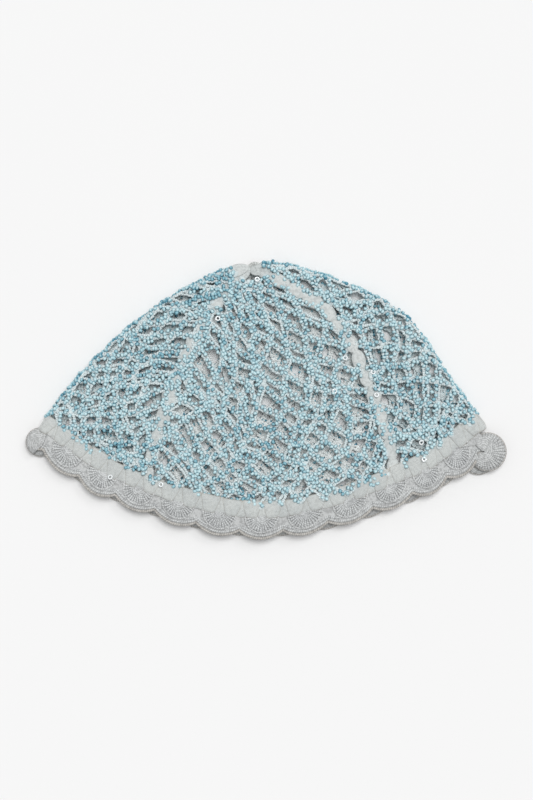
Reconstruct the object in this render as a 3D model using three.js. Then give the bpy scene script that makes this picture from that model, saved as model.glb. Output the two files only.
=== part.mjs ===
// A beaded crochet skull cap, lying flat and empty on a table.
//
// Four triangular gores of open beaded net meet at the crown. Knitted seam tapes join them, and a
// crocheted hem of two rows, a band of petals and an edge of scalloped fans, closes the mouth.
// Laid flat, the front gore and half of each side gore make the upper layer. The back gore and the
// other halves make the lower one, and the side gores turn over in a rounded fold.
//
// Millimetres. +Z is up off the table, +Y points to the crown and -Y out of the mouth.

import * as THREE from 'three';

// ---------------------------------------------------------------------------------------------
// Driving dimensions
// ---------------------------------------------------------------------------------------------

// Where the four seams meet, seen from above.
const APEX = [-7, 74];

// Shares of the way down from the crown to the hem at which the lines below are given.
const DOWN = { apex: 0, tip: 0.1, crown: 0.3, shoulder: 0.5, side: 0.75, hem: 1 };

// The lines that run down the cap, seen from above: across is -1 at the left fold and 1 at the
// right. backDrop is how much lower the back hem lies there than the front one.
const LINES = [
  { name: 'left fold', across: -1, tip: [-23.5, 70.5], crown: [-52, 55.5], shoulder: [-79, 35.5],
    side: [-108, 5.5], hem: [-131.2, -26.5], backDrop: 0 },
  { name: 'left seam', across: -0.5, tip: [-18, 64], crown: [-34.5, 38.5], shoulder: [-48.5, 11],
    side: [-59, -24.5], hem: [-70, -61.5], backDrop: 1.2 },
  { name: 'front middle', across: 0, tip: [-6.5, 59.5], crown: [-1, 29], shoulder: [1, -2],
    side: [2, -39], hem: [0, -76.5], backDrop: 1 },
  { name: 'right seam', across: 0.5, tip: [7, 66], crown: [35.5, 47], shoulder: [52.5, 19],
    side: [66.5, -19], hem: [73, -59], backDrop: 3 },
  { name: 'right fold', across: 1, tip: [10.5, 74.5], crown: [45.5, 63.5], shoulder: [77.5, 46],
    side: [103.5, 9], hem: [131.2, -26.5], backDrop: 0 },
];

const SEAM_ACROSS = 0.5;    // the seams lie halfway between the middle and the folds
const HEM_SAG = 2.5;        // how far the hem drops below its chord between a fold and a seam

const REST_HEIGHT = 2;      // the lower layer's cords above the table
const FOLD_RADIUS = 3.6;    // of the side folds, at the cords
const FOLD_EASE = 1.8;      // how much a fold tightens towards the crown

// How far the upper layer stands over the folds, at each share of DOWN.
const UPPER_LIFT = { apex: 0, tip: 1.4, crown: 2.1, shoulder: 2.6, side: 2.3, hem: 1.2 };

// Wall faces, measured outwards from the cords' middle.
const NET = { inner: -1, outer: 2 };
const TAPE = { inner: -1.2, outer: 2.6 };
const HEM_BAND = { inner: -1, outer: 2 };
const SCALLOP = { inner: -0.9, outer: 1.6 };

const GAP = 0.4;            // left between neighbouring pieces
const TAPE_WIDTH = 7;
const CREST_DOWN = 0.075;   // the crown tip ends here
const BAND_TOP = 0.885;     // the net ends and the petals begin
const EDGE_TOP = 0.94;      // the petals end and the fans begin

const FANS = 24;            // round the whole hem, six to a gore
const FAN_PHASE = 0.4;      // where the first fan starts, in fans from the left fold
const NOTCH_DEPTH = 0.028;  // between two fans, as a share of the way down
const FAN_ROUNDNESS = 0.75;

// Facets
const TINY_STEP = 0.002;
const FAN_STEPS = 6;
const FOLD_STEPS = 6;
const GORE_STEPS = 12;
const HALF_GORE_STEPS = 6;
const NET_ROWS = 14;
const TAPE_ROWS = 18;
const HEM_ROWS = 2;
const TIP_ROWS = [0.012, 0.03, 0.05, CREST_DOWN];
const TIP_STEPS = 7;
const TIP_FOLD_STEPS = 4;

const COLOURS = {
  net: { color: 0x9dbfca, roughness: 0.45, metalness: 0 },
  tape: { color: 0xc9cdc9, roughness: 0.85, metalness: 0 },
  hem: { color: 0xbfc1c1, roughness: 0.9, metalness: 0 },
};

// ---------------------------------------------------------------------------------------------
// The cap's surface, at the middle of its cords
// ---------------------------------------------------------------------------------------------

const DOWN_NAMES = Object.keys(DOWN);
const DOWN_NODES = Object.values(DOWN);
const ACROSS_NODES = LINES.map((line) => line.across);
const GRID = LINES.map((line) => DOWN_NAMES.map((name) => (name === 'apex' ? APEX : line[name])));
const LIFTS = DOWN_NAMES.map((name) => UPPER_LIFT[name]);

/** Slope at node i of the smooth curve through the nodes, as weights on its two neighbours. */
function slopeWeights(nodes, i) {
  const before = Math.max(i - 1, 0);
  const after = Math.min(i + 1, nodes.length - 1);
  return { before, after, share: 1 / (nodes[after] - nodes[before]) };
}

/** Weight of each node's value at x, on the smooth curve that passes through all of them. */
function curveWeights(nodes, x) {
  let start = 0;
  while (start < nodes.length - 2 && x >= nodes[start + 1]) start += 1;
  const span = nodes[start + 1] - nodes[start];
  const s = (x - nodes[start]) / span;
  const weights = nodes.map(() => 0);
  weights[start] += 2 * s ** 3 - 3 * s ** 2 + 1;
  weights[start + 1] += 3 * s ** 2 - 2 * s ** 3;
  const pulls = [span * (s ** 3 - 2 * s ** 2 + s), span * (s ** 3 - s ** 2)];
  pulls.forEach((pull, end) => {
    const slope = slopeWeights(nodes, start + end);
    weights[slope.after] += pull * slope.share;
    weights[slope.before] -= pull * slope.share;
  });
  return weights;
}

/** How far the hem drops between a fold and a seam, at this place. */
function hemSag(across, down) {
  const outer = Math.abs(across) - SEAM_ACROSS;
  return outer > 0 ? HEM_SAG * down ** 4 * Math.sin(Math.PI * outer / SEAM_ACROSS) ** 2 : 0;
}

/** Place seen from above, for across from -1 at the left fold to 1 at the right fold. */
function planPoint(across, down, lower) {
  const acrossWeights = curveWeights(ACROSS_NODES, across);
  const downWeights = curveWeights(DOWN_NODES, down);
  const point = new THREE.Vector2();
  GRID.forEach((line, i) => {
    line.forEach(([x, y], j) => {
      const weight = acrossWeights[i] * downWeights[j];
      point.x += weight * x;
      point.y += weight * y;
    });
  });
  point.y -= hemSag(across, down);
  if (lower) {
    const drop = LINES.reduce((sum, line, i) => sum + acrossWeights[i] * line.backDrop, 0);
    point.y -= drop * down ** 3;
  }
  return point;
}

/** Length of one row from the middle to the fold on this side, seen from above. */
function halfWidth(side, down) {
  const middle = planPoint(0, down, false);
  const seam = planPoint(SEAM_ACROSS * side, down, false);
  const fold = planPoint(side, down, false);
  return middle.distanceTo(seam) + seam.distanceTo(fold);
}

/** Sizes of the fold on this side: its radius, its quarter turn and the whole half row. */
function foldSizes(side, down) {
  const width = halfWidth(side, down);
  const radius = FOLD_RADIUS * width / (width + FOLD_EASE * FOLD_RADIUS);
  const quarter = radius * Math.PI / 2;
  return { width, radius, quarter, length: width - radius + quarter };
}

/** Height of the upper layer over the folds. */
function upperLift(across, down) {
  const weights = curveWeights(DOWN_NODES, down);
  const lift = weights.reduce((sum, weight, i) => sum + weight * LIFTS[i], 0);
  return lift * (1 - across ** 2) ** 2;
}

/**
 * Where a round lies. A round goes about the cap: 0 is the front middle, 1 the right fold, 2 and
 * -2 the back middle, and -1 the left fold, and 4 is the front middle again.
 */
function placeRound(round) {
  const turn = round - 4 * Math.round(round / 4);
  return { turn, side: turn < 0 ? -1 : 1, lower: Math.abs(turn) > 1 };
}

/** A point of the cords' middle surface. */
function skinPoint(round, down) {
  const { turn, side, lower } = placeRound(round);
  const share = lower ? 2 - Math.abs(turn) : Math.abs(turn);
  const fold = foldSizes(side, down);
  const along = fold.length * (1 - share);
  const angle = Math.min(along / fold.radius, Math.PI / 2);
  const inward = fold.radius * (1 - Math.cos(angle)) + Math.max(0, along - fold.quarter);
  const across = side * (1 - inward / fold.width);
  const rise = fold.radius * Math.sin(angle);
  const plan = planPoint(across, down, lower);
  const height = REST_HEIGHT + fold.radius + (lower ? -rise : rise + upperLift(across, down));
  return new THREE.Vector3(plan.x, plan.y, height);
}

/** How the skin runs about the cap and down it here, in millimetres for each unit. */
function skinRuns(round, down) {
  const low = Math.max(down - TINY_STEP, TINY_STEP / 2);
  const high = down + TINY_STEP;
  const about = skinPoint(round + TINY_STEP, down).sub(skinPoint(round - TINY_STEP, down));
  const along = skinPoint(round, high).sub(skinPoint(round, low));
  return { about: about.divideScalar(2 * TINY_STEP), along: along.divideScalar(high - low) };
}

/** The skin's outward direction. */
function skinNormal(round, down) {
  const { about, along } = skinRuns(round, down);
  return along.cross(about).normalize();
}

/** A point set off outwards from the cords' middle. */
function offsetPoint(round, down, offset) {
  return skinPoint(round, down).addScaledVector(skinNormal(round, down), offset);
}

/** Shift in round that moves this far square to the line down the cap. */
function roundFor(length, round, down) {
  const { about, along } = skinRuns(round, down);
  return length * along.length() / about.cross(along).length();
}

/** Shift in down that moves this far square to the row about the cap. */
function downFor(length, round, down) {
  const { about, along } = skinRuns(round, down);
  return length * about.length() / along.cross(about).length();
}

// ---------------------------------------------------------------------------------------------
// Closed walls
// ---------------------------------------------------------------------------------------------

/** Evenly spaced values from start to end, both included. */
function spread(start, end, steps) {
  return Array.from({ length: steps + 1 }, (_, i) => start + (end - start) * i / steps);
}

/** Gathers corner points and triangles, and gives them back as one geometry. */
class Wall {
  constructor() {
    this.points = [];
    this.triangles = [];
  }

  point(place) {
    this.points.push(place.x, place.y, place.z);
    return this.points.length / 3 - 1;
  }

  quad(a, b, c, d) {
    this.triangles.push(a, b, c, a, c, d);
  }

  /** Joins two runs of corners, the second lying to the right of the first as seen from outside. */
  strip(first, second) {
    for (let i = 0; i + 1 < first.length; i += 1) {
      this.quad(first[i], first[i + 1], second[i + 1], second[i]);
    }
  }

  geometry() {
    const geometry = new THREE.BufferGeometry();
    geometry.setAttribute('position', new THREE.Float32BufferAttribute(this.points, 3));
    geometry.setIndex(this.triangles);
    geometry.computeVertexNormals();
    return geometry;
  }
}

/** The lists of corners of one face: a list for each row, a corner for each column. */
function faceCorners(wall, rows, columnsAt, placeAt) {
  return rows.map((row) => columnsAt(row).map((round) => wall.point(placeAt(round, row))));
}

/**
 * A wall over part of the skin. columnsAt(row) lists the rounds of a row, always as many of them.
 * downAt(round, row) is how far down that corner is. A ring's columns close on themselves.
 */
function skinWall({ rows, columnsAt, downAt, faces, ring }) {
  const wall = new Wall();
  const face = (name) => faceCorners(wall, rows, columnsAt, (round, row) => {
    const { lower } = placeRound(round);
    const offset = name === 'outer' && lower ? Math.min(faces.outer, REST_HEIGHT) : faces[name];
    return offsetPoint(round, downAt(round, row), offset);
  });
  const outer = face('outer');
  const inner = face('inner');
  if (ring) [...outer, ...inner].forEach((corners) => corners.push(corners[0]));
  for (let row = 0; row + 1 < rows.length; row += 1) {
    wall.strip(outer[row + 1], outer[row]);
    wall.strip(inner[row], inner[row + 1]);
  }
  const last = rows.length - 1;
  wall.strip(outer[0], inner[0]);
  wall.strip(inner[last], outer[last]);
  if (!ring) {
    const end = outer[0].length - 1;
    wall.strip(inner.map((corners) => corners[0]), outer.map((corners) => corners[0]));
    wall.strip(outer.map((corners) => corners[end]), inner.map((corners) => corners[end]));
  }
  return wall.geometry();
}

// ---------------------------------------------------------------------------------------------
// The pieces
// ---------------------------------------------------------------------------------------------

/** Round of a seam tape's edge, with its gap: towards is -1 or 1. */
function tapeEdge(seam, towards, down) {
  return seam + towards * roundFor(TAPE_WIDTH / 2 + GAP, seam, down);
}

/** Columns of a gore that lies flat between two seams. */
function flatGoreColumns(leftSeam, rightSeam, down) {
  return spread(tapeEdge(leftSeam, 1, down), tapeEdge(rightSeam, -1, down), GORE_STEPS);
}

/** Columns of a side gore, close together in its fold. */
function foldedGoreColumns(fold, down) {
  const turn = foldSizes(placeRound(fold).side, down);
  const quarter = turn.quarter / turn.length;
  return [
    ...spread(tapeEdge(fold - SEAM_ACROSS, 1, down), fold - quarter, HALF_GORE_STEPS).slice(0, -1),
    ...spread(fold - quarter, fold + quarter, FOLD_STEPS),
    ...spread(fold + quarter, tapeEdge(fold + SEAM_ACROSS, -1, down), HALF_GORE_STEPS).slice(1),
  ];
}

/** How far down a corner of the net is, with a gap to the crown tip and to the hem. */
function netDown(round, row) {
  const top = CREST_DOWN + downFor(GAP, round, CREST_DOWN);
  const bottom = BAND_TOP - downFor(GAP, round, BAND_TOP);
  const share = (row - CREST_DOWN) / (BAND_TOP - CREST_DOWN);
  return top + share * (bottom - top);
}

function netWall(columnsAt, steps, faces) {
  const rows = spread(CREST_DOWN, BAND_TOP, steps);
  return skinWall({ rows, columnsAt, downAt: netDown, faces, ring: false });
}

function gorePanel(columnsAt) {
  return netWall(columnsAt, NET_ROWS, NET);
}

function seamTape(seam) {
  const columnsAt = (down) => {
    const half = roundFor(TAPE_WIDTH / 2, seam, down);
    return spread(seam - half, seam + half, 2);
  };
  return netWall(columnsAt, TAPE_ROWS, TAPE);
}

/** Round of each notch between fans and of the steps between, and of the steps in both folds. */
function hemColumns() {
  const steps = FANS * FAN_STEPS;
  const start = -1 + FAN_PHASE * 4 / FANS;
  const fans = Array.from({ length: steps }, (_, i) => start + 4 * i / steps);
  const folds = [1, 3].flatMap((fold) => {
    const turn = foldSizes(placeRound(fold).side, 1);
    const quarter = turn.quarter / turn.length;
    return spread(fold - quarter, fold + quarter, FOLD_STEPS);
  });
  const closest = 1 / steps;
  const all = [...fans, ...folds.filter((fold) => fans.every((fan) => Math.abs(fan - fold) > closest))];
  return all.sort((a, b) => a - b);
}

/** How far down the scalloped edge reaches at this round. */
function edgeDown(round) {
  const fans = (round + 1) * FANS / 4 - FAN_PHASE;
  const phase = fans - Math.floor(fans);
  return 1 - NOTCH_DEPTH * (1 - Math.sin(Math.PI * phase) ** FAN_ROUNDNESS);
}

/** A ring of the hem. downAt(round, share) runs from its upper edge to its lower one. */
function hemWall(downAt, faces) {
  const columns = hemColumns();
  return skinWall({ rows: spread(0, 1, HEM_ROWS), columnsAt: () => columns, downAt, faces, ring: true });
}

function hemBand() {
  const downAt = (round, share) => {
    const bottom = EDGE_TOP - downFor(GAP, round, EDGE_TOP);
    return BAND_TOP + share * (bottom - BAND_TOP);
  };
  return hemWall(downAt, HEM_BAND);
}

function scallopEdge() {
  const downAt = (round, share) => EDGE_TOP + share * (edgeDown(round) - EDGE_TOP);
  return hemWall(downAt, SCALLOP);
}

/** Columns right round the crown tip, close together in both folds. */
function tipColumns(down) {
  const [right, left] = [1, -1].map((side) => {
    const turn = foldSizes(side, down);
    return turn.quarter / turn.length;
  });
  return [
    ...spread(-1 + left, 1 - right, TIP_STEPS), ...spread(1 - right, 1 + right, TIP_FOLD_STEPS).slice(1),
    ...spread(1 + right, 3 - left, TIP_STEPS).slice(1),
    ...spread(3 - left, 3 + left, TIP_FOLD_STEPS).slice(1, -1),
  ];
}

/** The small folded pocket in which the four seams meet, closed at its top edge. */
function crownTip() {
  const wall = new Wall();
  const face = (rows, offset) => {
    const corners = faceCorners(wall, rows, tipColumns, (round, down) => offsetPoint(round, down, offset));
    corners.forEach((row) => row.push(row[0]));
    return corners;
  };
  const outer = face(TIP_ROWS, NET.outer);
  const inner = face(TIP_ROWS.slice(1), NET.inner);
  outer.slice(1).forEach((row, i) => wall.strip(row, outer[i]));
  inner.slice(1).forEach((row, i) => wall.strip(inner[i], row));
  wall.strip(inner.at(-1), outer.at(-1));
  const [x, y] = APEX;
  const outerPole = wall.point(new THREE.Vector3(x, y + NET.outer, REST_HEIGHT));
  const innerPole = wall.point(new THREE.Vector3(x, y + NET.inner, REST_HEIGHT));
  outer[0].slice(1).forEach((next, i) => wall.triangles.push(outer[0][i], next, outerPole));
  inner[0].slice(1).forEach((next, i) => wall.triangles.push(next, inner[0][i], innerPole));
  return wall.geometry();
}

// ---------------------------------------------------------------------------------------------
// The cap
// ---------------------------------------------------------------------------------------------

const cap = new THREE.Group();
cap.name = 'beaded_cap';

function addPiece(name, geometry, finish) {
  const mesh = new THREE.Mesh(geometry, new THREE.MeshStandardMaterial(finish));
  mesh.name = name;
  cap.add(mesh);
}

addPiece('panel_front', gorePanel((down) => flatGoreColumns(-0.5, 0.5, down)), COLOURS.net);
addPiece('panel_right', gorePanel((down) => foldedGoreColumns(1, down)), COLOURS.net);
addPiece('panel_back', gorePanel((down) => flatGoreColumns(1.5, 2.5, down)), COLOURS.net);
addPiece('panel_left', gorePanel((down) => foldedGoreColumns(3, down)), COLOURS.net);
addPiece('seam_front_left', seamTape(-0.5), COLOURS.tape);
addPiece('seam_front_right', seamTape(0.5), COLOURS.tape);
addPiece('seam_back_right', seamTape(1.5), COLOURS.tape);
addPiece('seam_back_left', seamTape(-1.5), COLOURS.tape);
addPiece('crown_tip', crownTip(), COLOURS.tape);
addPiece('hem_band', hemBand(), COLOURS.hem);
addPiece('scallop_edge', scallopEdge(), COLOURS.hem);

export default cap;
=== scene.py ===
"""Builds the looks of a beaded crochet skull cap that lies flat and empty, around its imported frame.

Four gores of open net hang from the crown. Their cords carry glass beads, crocheted seams with
smooth puffs join them, and a hem of petals and scalloped fans closes the mouth. Sizes are metres.
"""

import functools
import math
from collections import namedtuple

import bmesh
import bpy
import numpy as np
from bpy.props import FloatProperty, FloatVectorProperty, IntProperty, PointerProperty
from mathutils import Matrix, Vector


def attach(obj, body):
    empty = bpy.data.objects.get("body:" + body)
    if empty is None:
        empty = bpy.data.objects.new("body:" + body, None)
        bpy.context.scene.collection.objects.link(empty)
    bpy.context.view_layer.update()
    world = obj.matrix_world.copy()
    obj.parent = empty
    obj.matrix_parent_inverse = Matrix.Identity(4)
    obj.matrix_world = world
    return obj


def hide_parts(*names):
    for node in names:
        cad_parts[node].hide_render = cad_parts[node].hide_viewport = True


bl_info = {
    "name": "Beaded Crochet Cap",
    "version": (1, 0, 0),
    "blender": (4, 5, 0),
    "location": "View3D > Sidebar > Cap",
    "description": "Builds a beaded crochet skull cap lying flat, with its table, light and camera",
    "category": "Add Mesh",
}

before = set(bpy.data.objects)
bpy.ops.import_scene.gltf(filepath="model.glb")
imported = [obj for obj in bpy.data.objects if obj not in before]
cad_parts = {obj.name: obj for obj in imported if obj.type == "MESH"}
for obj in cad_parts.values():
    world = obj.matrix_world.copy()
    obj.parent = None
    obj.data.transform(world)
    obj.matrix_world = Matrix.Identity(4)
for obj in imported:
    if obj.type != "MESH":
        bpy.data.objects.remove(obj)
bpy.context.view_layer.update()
MM = 0.001

# ---------------------------------------------------------------------------------------------
# The cap's surface, at the middle of its cords
# ---------------------------------------------------------------------------------------------

# A turn goes about the cap: 0 is the front middle, 1 the right fold, 2 the back middle and 3 the
# left fold. Down goes from 0 at the crown to 1 at the hem. Across goes over one layer, from -1 at
# the left fold to 1 at the right one.
ALL_ROUND = 4
SEAM_ACROSS = 0.5
DOWN_STOPS = np.array((0, 0.1, 0.3, 0.5, 0.75, 1.0))
ACROSS_STOPS = np.array((-1, -0.5, 0, 0.5, 1.0))
APEX = (-7, 74)
# The cap seen from above, in millimetres: a line down it at each stop across, with a place at each
# stop down from the second one on.
LINES = (
    ((-23.5, 70.5), (-52, 55.5), (-79, 35.5), (-108, 5.5), (-131.2, -26.5)),
    ((-18, 64), (-34.5, 38.5), (-48.5, 11), (-59, -24.5), (-70, -61.5)),
    ((-6.5, 59.5), (-1, 29), (1, -2), (2, -39), (0, -76.5)),
    ((7, 66), (35.5, 47), (52.5, 19), (66.5, -19), (73, -59)),
    ((10.5, 74.5), (45.5, 63.5), (77.5, 46), (103.5, 9), (131.2, -26.5)),
)
PLAN = MM * np.array([(APEX, *line) for line in LINES])
# How much further the lower layer reaches at the hem, at each stop across
BACK_DROP = MM * np.array((0, 1.2, 1, 3, 0))
# How far the middle of the upper layer stands up, at each stop down. It is a little flatter than
# the CAD's, as the folds are, to leave room for the beads.
UPPER_LIFT = MM * np.array((0, 1.2, 1.6, 2, 1.6, 1))
HEM_SAG = 2.5 * MM          # how far the hem hangs down between a seam and a fold
REST_HEIGHT = 2 * MM        # of the lower layer over the table
FOLD_RADIUS = 2.8 * MM
FOLD_EASE = 1.8             # how much tighter the folds are where the cap is narrow
HIGHEST_DOWN = 0.006        # nothing lies nearer the crown's point
TINY_STEP = 0.002           # turns and shares down, to take directions from


def curve_weights(stops, at):
    """Weight of each stop's value at these places, on the smooth curve through all of them."""
    count = len(stops)
    slopes = np.zeros((count, count))
    for i in range(count):
        before, after = max(i - 1, 0), min(i + 1, count - 1)
        slopes[i, after] += 1 / (stops[after] - stops[before])
        slopes[i, before] -= 1 / (stops[after] - stops[before])
    start = np.clip(np.searchsorted(stops, at, side="right") - 1, 0, count - 2)
    span = stops[start + 1] - stops[start]
    s = (at - stops[start]) / span
    first_pull = span * (s ** 3 - 2 * s ** 2 + s)
    second_pull = span * (s ** 3 - s ** 2)
    weights = [
        (2 * s ** 3 - 3 * s ** 2 + 1) * (start == j)
        + (3 * s ** 2 - 2 * s ** 3) * (start + 1 == j)
        + first_pull * slopes[start, j]
        + second_pull * slopes[start + 1, j]
        for j in range(count)
    ]
    return np.array(weights)


def plan_place(across, down, lower):
    """Place seen from above, for across from -1 at the left fold to 1 at the right fold."""
    about = curve_weights(ACROSS_STOPS, across)
    along = curve_weights(DOWN_STOPS, down)
    place = np.einsum("in,jn,ijk->nk", about, along, PLAN)
    outer = np.clip(np.abs(across) - SEAM_ACROSS, 0, None)
    place[:, 1] -= HEM_SAG * down ** 4 * np.sin(np.pi * outer / SEAM_ACROSS) ** 2
    place[:, 1] -= lower * (BACK_DROP @ about) * down ** 3
    return place


def skin(turns, down):
    """Points of the cords' middle surface: two layers that roll into each other at the folds."""
    turn = turns - ALL_ROUND * np.round(turns / ALL_ROUND)
    side = np.where(turn < 0, -1.0, 1.0)
    lower = np.abs(turn) > 1
    share = np.where(lower, 2 - np.abs(turn), np.abs(turn))
    middle = plan_place(0 * side, down, 0)
    seam = plan_place(SEAM_ACROSS * side, down, 0)
    fold = plan_place(side, down, 0)
    width = np.linalg.norm(seam - middle, axis=1) + np.linalg.norm(fold - seam, axis=1)
    radius = FOLD_RADIUS * width / (width + FOLD_EASE * FOLD_RADIUS)
    quarter = radius * np.pi / 2
    along = (width - radius + quarter) * (1 - share)
    angle = np.minimum(along / radius, np.pi / 2)
    inward = radius * (1 - np.cos(angle)) + np.maximum(0, along - quarter)
    across = side * (1 - inward / width)
    rise = radius * np.sin(angle)
    lift = (UPPER_LIFT @ curve_weights(DOWN_STOPS, down)) * (1 - across ** 2) ** 2
    height = REST_HEIGHT + radius + np.where(lower, -rise, rise + lift)
    return np.column_stack((plan_place(across, down, lower), height))


def unit(vectors):
    """The vectors at length 1."""
    return vectors / np.maximum(np.linalg.norm(vectors, axis=-1, keepdims=True), 1e-12)


def lengths(line):
    """The length of a line so far, at each of its points."""
    return np.concatenate(((0,), np.cumsum(np.linalg.norm(np.diff(line, axis=0), axis=1))))


def sample(at, gone, values):
    """A line's places or directions at these lengths along it."""
    return np.column_stack([np.interp(at, gone, values[:, k]) for k in range(3)])


class Skin:
    """Places on the surface, with the directions about it and down it, and outwards."""

    def __init__(self, turns, down):
        turns, down = np.broadcast_arrays(np.asarray(turns, float), np.asarray(down, float))
        self.shape = turns.shape
        turns, down = turns.ravel(), np.maximum(down.ravel(), HIGHEST_DOWN)
        self.place = self._back(skin(turns, down))
        about = (skin(turns + TINY_STEP, down) - skin(turns - TINY_STEP, down)) / (2 * TINY_STEP)
        along = (skin(turns, down + TINY_STEP) - skin(turns, down - TINY_STEP)) / (2 * TINY_STEP)
        self.about, self.along = self._back(about), self._back(along)
        self.normal = self._back(unit(np.cross(along, about)))

    def _back(self, values):
        return values.reshape(*self.shape, 3)

    def axes(self):
        """Directions across the surface and down it, each at right angles to the other."""
        down = unit(self.along)
        return unit(np.cross(down, self.normal)), down

    def out(self, offset):
        """The places set off outwards, by one offset or by one for each."""
        return self.place + np.broadcast_to(offset, self.shape)[..., None] * self.normal


# ---------------------------------------------------------------------------------------------
# Meshes
# ---------------------------------------------------------------------------------------------


class Pile:
    """Gathers many closed shapes into the arrays of one mesh."""

    def __init__(self):
        self.places, self.faces, self.uvs, self.marks = [], [], [], {}
        self.count = 0

    def add(self, places, faces, uvs=None, **marks):
        """Adds one shape. Faces and uvs are lists of arrays, one for each number of corners. A mark
        is one value, or one for each point."""
        places = np.asarray(places).reshape(-1, 3)
        for i, corners in enumerate(faces):
            self.faces.append(corners + self.count)
            self.uvs.append(uvs[i] if uvs else np.zeros((*corners.shape, 2)))
        self.places.append(places)
        for name, values in marks.items():
            values = np.broadcast_to(np.asarray(values, float).ravel(), len(places))
            self.marks.setdefault(name, []).append(values)
        self.count += len(places)

    def add_copies(self, shape, centres, turns, **marks):
        """Adds copies of a shape, each turned by its own matrix. A mark is one value, one for each
        copy, or one for each of its points."""
        points, faces = shape
        places = centres[:, None] + np.einsum("nij,vj->nvi", turns, points)
        shift = np.arange(len(centres))[:, None, None] * len(points)
        marks = {name: np.repeat(values, len(points)) if np.ndim(values) == 1 else values
                 for name, values in marks.items()}
        self.add(places, [(corners + shift).reshape(-1, corners.shape[1]) for corners in faces],
                 **marks)

    def add_tube(self, centre, lateral, normal, wide, thick, sides, length, **marks):
        """Adds a closed tube about a line. Its UV map is the length along it and the share about
        it."""
        rings = len(centre)
        angle = 2 * np.pi * np.arange(sides) / sides
        wide = np.broadcast_to(wide, rings)[:, None, None]
        thick = np.broadcast_to(thick, rings)[:, None, None]
        places = (centre[:, None] + wide * np.cos(angle)[:, None] * lateral[:, None]
                  + thick * np.sin(angle)[:, None] * normal[:, None])
        i, k = np.meshgrid(np.arange(rings - 1), np.arange(sides), indexing="ij")
        after = (k + 1) % sides
        quads = np.stack((i * sides + k, i * sides + after, (i + 1) * sides + after,
                          (i + 1) * sides + k), -1).reshape(-1, 4)
        u = np.stack((length[i], length[i], length[i + 1], length[i + 1]), -1)
        v = np.stack((k, k + 1, k + 1, k), -1) / sides
        ends = np.arange(sides)
        caps = np.stack((ends[::-1], (rings - 1) * sides + ends))
        cap_uvs = np.zeros((2, sides, 2))
        cap_uvs[1, :, 0] = length[-1]
        self.add(places, [quads, caps], [np.stack((u, v), -1).reshape(-1, 4, 2), cap_uvs],
                 **marks)

    def add_slab(self, outer, inner, **marks):
        """Adds a closed wall between two grids of rows down and columns about. Its UV map is the
        share of the columns and of the rows."""
        rows, columns = outer.shape[:2]
        total = rows * columns
        index = np.arange(total).reshape(rows, columns)
        top = np.stack((index[:-1, :-1], index[1:, :-1], index[1:, 1:], index[:-1, 1:]), -1)
        ring = np.concatenate((index[0, ::-1], index[1:, 0], index[-1, 1:], index[-2:0:-1, -1]))
        following = np.roll(ring, -1)
        rim = np.stack((following, ring, ring + total, following + total), -1)
        quads = np.concatenate((top.reshape(-1, 4), top.reshape(-1, 4)[:, ::-1] + total, rim))
        share = np.stack((index % columns / (columns - 1), index // columns / (rows - 1)), -1)
        share = np.tile(share.reshape(-1, 2), (2, 1))
        self.add(np.concatenate((outer.reshape(-1, 3), inner.reshape(-1, 3))), [quads],
                 [share[quads]], **marks)

    def finish(self, name, material, replaced=()):
        """The mesh as one piece of the cap, in place."""
        corners = [faces.ravel() for faces in self.faces]
        sizes = np.concatenate([np.full(len(f), f.shape[1]) for f in self.faces])
        mesh = bpy.data.meshes.new(name)
        mesh.vertices.add(self.count)
        mesh.vertices.foreach_set("co", np.concatenate(self.places).astype(np.float32).ravel())
        mesh.loops.add(sum(len(c) for c in corners))
        mesh.loops.foreach_set("vertex_index", np.concatenate(corners).astype(np.int32))
        mesh.polygons.add(len(sizes))
        starts = np.concatenate(((0,), np.cumsum(sizes)[:-1])).astype(np.int32)
        mesh.polygons.foreach_set("loop_start", starts)
        mesh.update(calc_edges=True)
        uvs = np.concatenate([uv.reshape(-1, 2) for uv in self.uvs])
        mesh.uv_layers.new(name="UVMap").uv.foreach_set("vector", uvs.astype(np.float32).ravel())
        for mark, values in self.marks.items():
            layer = mesh.attributes.new(mark, "FLOAT", "POINT")
            layer.data.foreach_set("value", np.concatenate(values).astype(np.float32))
        mesh.shade_smooth()
        piece = bpy.data.objects.new(name, mesh)
        bpy.context.scene.collection.objects.link(piece)
        return finish_piece(piece, material, replaced)


def finish_piece(piece, material, replaced=()):
    """Gives a piece its material and its body, and hides the frame's nodes that it replaces."""
    piece.data.materials.clear()
    piece.data.materials.append(material)
    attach(piece, "root")
    if replaced:
        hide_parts(*replaced)
    return piece


def leave_edit_mode():
    """Goes back to object mode, if an object is in another."""
    if bpy.context.object and bpy.context.object.mode != "OBJECT":
        bpy.ops.object.mode_set(mode="OBJECT")


def start_shape():
    """Leaves nothing selected, so that an operator acts only on what it adds."""
    leave_edit_mode()
    bpy.ops.object.select_all(action="DESELECT")


def take_shape():
    """The active object's points and faces, to be copied. The object goes. The order of a new
    sphere's points can differ from run to run, so they are put in order of place."""
    leave_edit_mode()
    model = bpy.context.object
    mesh = model.data
    points = np.array([tuple(v.co) for v in mesh.vertices])
    order = np.lexsort(np.round(points, 5).T)
    number = np.argsort(order)
    by_size = {}
    for polygon in mesh.polygons:
        corners = number[list(polygon.vertices)]
        by_size.setdefault(len(corners), []).append(corners)
    bpy.data.objects.remove(model)
    bpy.data.meshes.remove(mesh)
    return points[order], [np.array(sorted(faces, key=sorted))
                           for _, faces in sorted(by_size.items())]


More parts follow.
